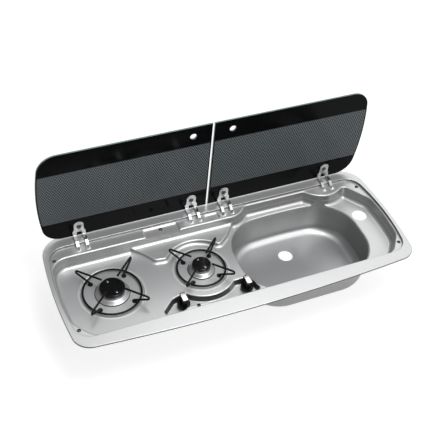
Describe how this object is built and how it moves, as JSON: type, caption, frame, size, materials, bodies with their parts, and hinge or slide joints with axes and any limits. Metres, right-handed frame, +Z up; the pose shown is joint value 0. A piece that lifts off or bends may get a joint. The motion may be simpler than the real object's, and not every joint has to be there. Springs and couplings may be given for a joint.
{
  "type": "hob and sink combo",
  "caption": "Drop-in stainless kitchen unit: gas hob on the left, sink bowl on the right, in one pressed tray with hinged tinted-glass lids.",
  "frame": {"origin": "middle of the worktop cut-out, on the worktop surface that the rim seals on", "axes": "+X along the unit towards the sink, +Y to the rear where the lids are hinged, +Z up"},
  "size_m": [0.9, 0.3699, 0.4141],
  "materials": {
    "tray_steel": "satin brushed stainless steel",
    "bowl_steel": "satin stainless steel",
    "seal_rubber": "matt black rubber",
    "burner_alloy": "turned bright alloy",
    "crown_alloy": "heat-dulled alloy",
    "cap_enamel": "gloss black enamel",
    "screw_bright": "bright plated",
    "injector_brass": "turned brass",
    "support_enamel": "satin black enamel",
    "grommet_rubber": "matt black rubber",
    "valve_brass": "cast and turned brass",
    "spindle_steel": "turned steel",
    "knob_plastic": "black plastic",
    "inlay_chrome": "bright plated",
    "pipe_metal": "drawn tube",
    "lid_glass": "toughened glass with black printed bands and a grey dotted middle",
    "hinge_chrome": "bright pressed steel",
    "bolt_black": "black finish",
    "nut_chrome": "bright plated",
    "bracket_steel": "pressed steel",
    "pin_steel": "turned steel"
  },
  "bodies": {
    "tray": {"burner_body_large": "burner_alloy", "burner_body_small": "burner_alloy", "burner_cap_large": "cap_enamel", "burner_cap_small": "cap_enamel", "burner_crown_large": "crown_alloy", "burner_crown_small": "crown_alloy", "burner_gasket_large": "grommet_rubber", "burner_gasket_small": "grommet_rubber", "cap_screws_large": "screw_bright", "cap_screws_small": "screw_bright", "feed_pipe_large": "pipe_metal", "feed_pipe_small": "pipe_metal", "gas_rail": "pipe_metal", "hinge_brackets_left": "bracket_steel", "hinge_brackets_right": "bracket_steel", "hinge_pins_left": "pin_steel", "hinge_pins_right": "pin_steel", "injector_large": "injector_brass", "injector_small": "injector_brass", "rim_seal": "seal_rubber", "screw_sleeves": "grommet_rubber", "sink_bowl": "bowl_steel", "support_grommets_large": "grommet_rubber", "support_grommets_small": "grommet_rubber", "valve_body_left": "valve_brass", "valve_body_right": "valve_brass", "worktop_tray": "tray_steel"},
    "left_lid": {"lid_glass_left": "lid_glass", "hinge_arm_left_outer": "hinge_chrome", "hinge_arm_left_inner": "hinge_chrome", "hinge_bolts_left": "bolt_black", "hinge_nuts_left": "nut_chrome"},
    "left_valve": {"valve_plug_left": "valve_brass"},
    "left_knob": {"knob_left": "knob_plastic", "spindle_left": "spindle_steel", "knob_inlay_left": "inlay_chrome"},
    "right_lid": {"lid_glass_right": "lid_glass", "hinge_arm_right_outer": "hinge_chrome", "hinge_arm_right_inner": "hinge_chrome", "hinge_bolts_right": "bolt_black", "hinge_nuts_right": "nut_chrome"},
    "right_valve": {"valve_plug_right": "valve_brass"},
    "right_knob": {"knob_right": "knob_plastic", "spindle_right": "spindle_steel", "knob_inlay_right": "inlay_chrome"},
    "large_support": {"support_ring_large": "support_enamel", "support_fingers_large": "support_enamel"},
    "small_support": {"support_ring_small": "support_enamel", "support_fingers_small": "support_enamel"}
  },
  "joints": [
    {"name": "left_lid_hinge", "type": "hinge", "parent": "tray", "child": "left_lid", "pos_m": [0, 0.1597, -0.0134], "axis": [-1, 0, 0], "range_deg": [-87, 0]},
    {"name": "right_lid_hinge", "type": "hinge", "parent": "tray", "child": "right_lid", "pos_m": [0, 0.1597, -0.0134], "axis": [-1, 0, 0], "range_deg": [-87, 0]},
    {"name": "left_valve_turn", "type": "hinge", "parent": "tray", "child": "left_valve", "pos_m": [-0.1585, -0.084, -0.06], "axis": [0, 0, 1], "range_deg": [0, 210]},
    {"name": "left_knob_press", "type": "slide", "parent": "left_valve", "child": "left_knob", "axis": [0, 0, 1], "range_m": [-0.003, 0], "stiffness_N_per_m": 800, "springref_m": 0.005},
    {"name": "right_valve_turn", "type": "hinge", "parent": "tray", "child": "right_valve", "pos_m": [0.008, -0.084, -0.06], "axis": [0, 0, 1], "range_deg": [0, 210]},
    {"name": "right_knob_press", "type": "slide", "parent": "right_valve", "child": "right_knob", "axis": [0, 0, 1], "range_m": [-0.003, 0], "stiffness_N_per_m": 800, "springref_m": 0.005},
    {"name": "large_support_lift", "type": "slide", "parent": "tray", "child": "large_support", "axis": [0, 0, 1], "range_m": [0, 0.05]},
    {"name": "small_support_lift", "type": "slide", "parent": "tray", "child": "small_support", "axis": [0, 0, 1], "range_m": [0, 0.05]}
  ]
}
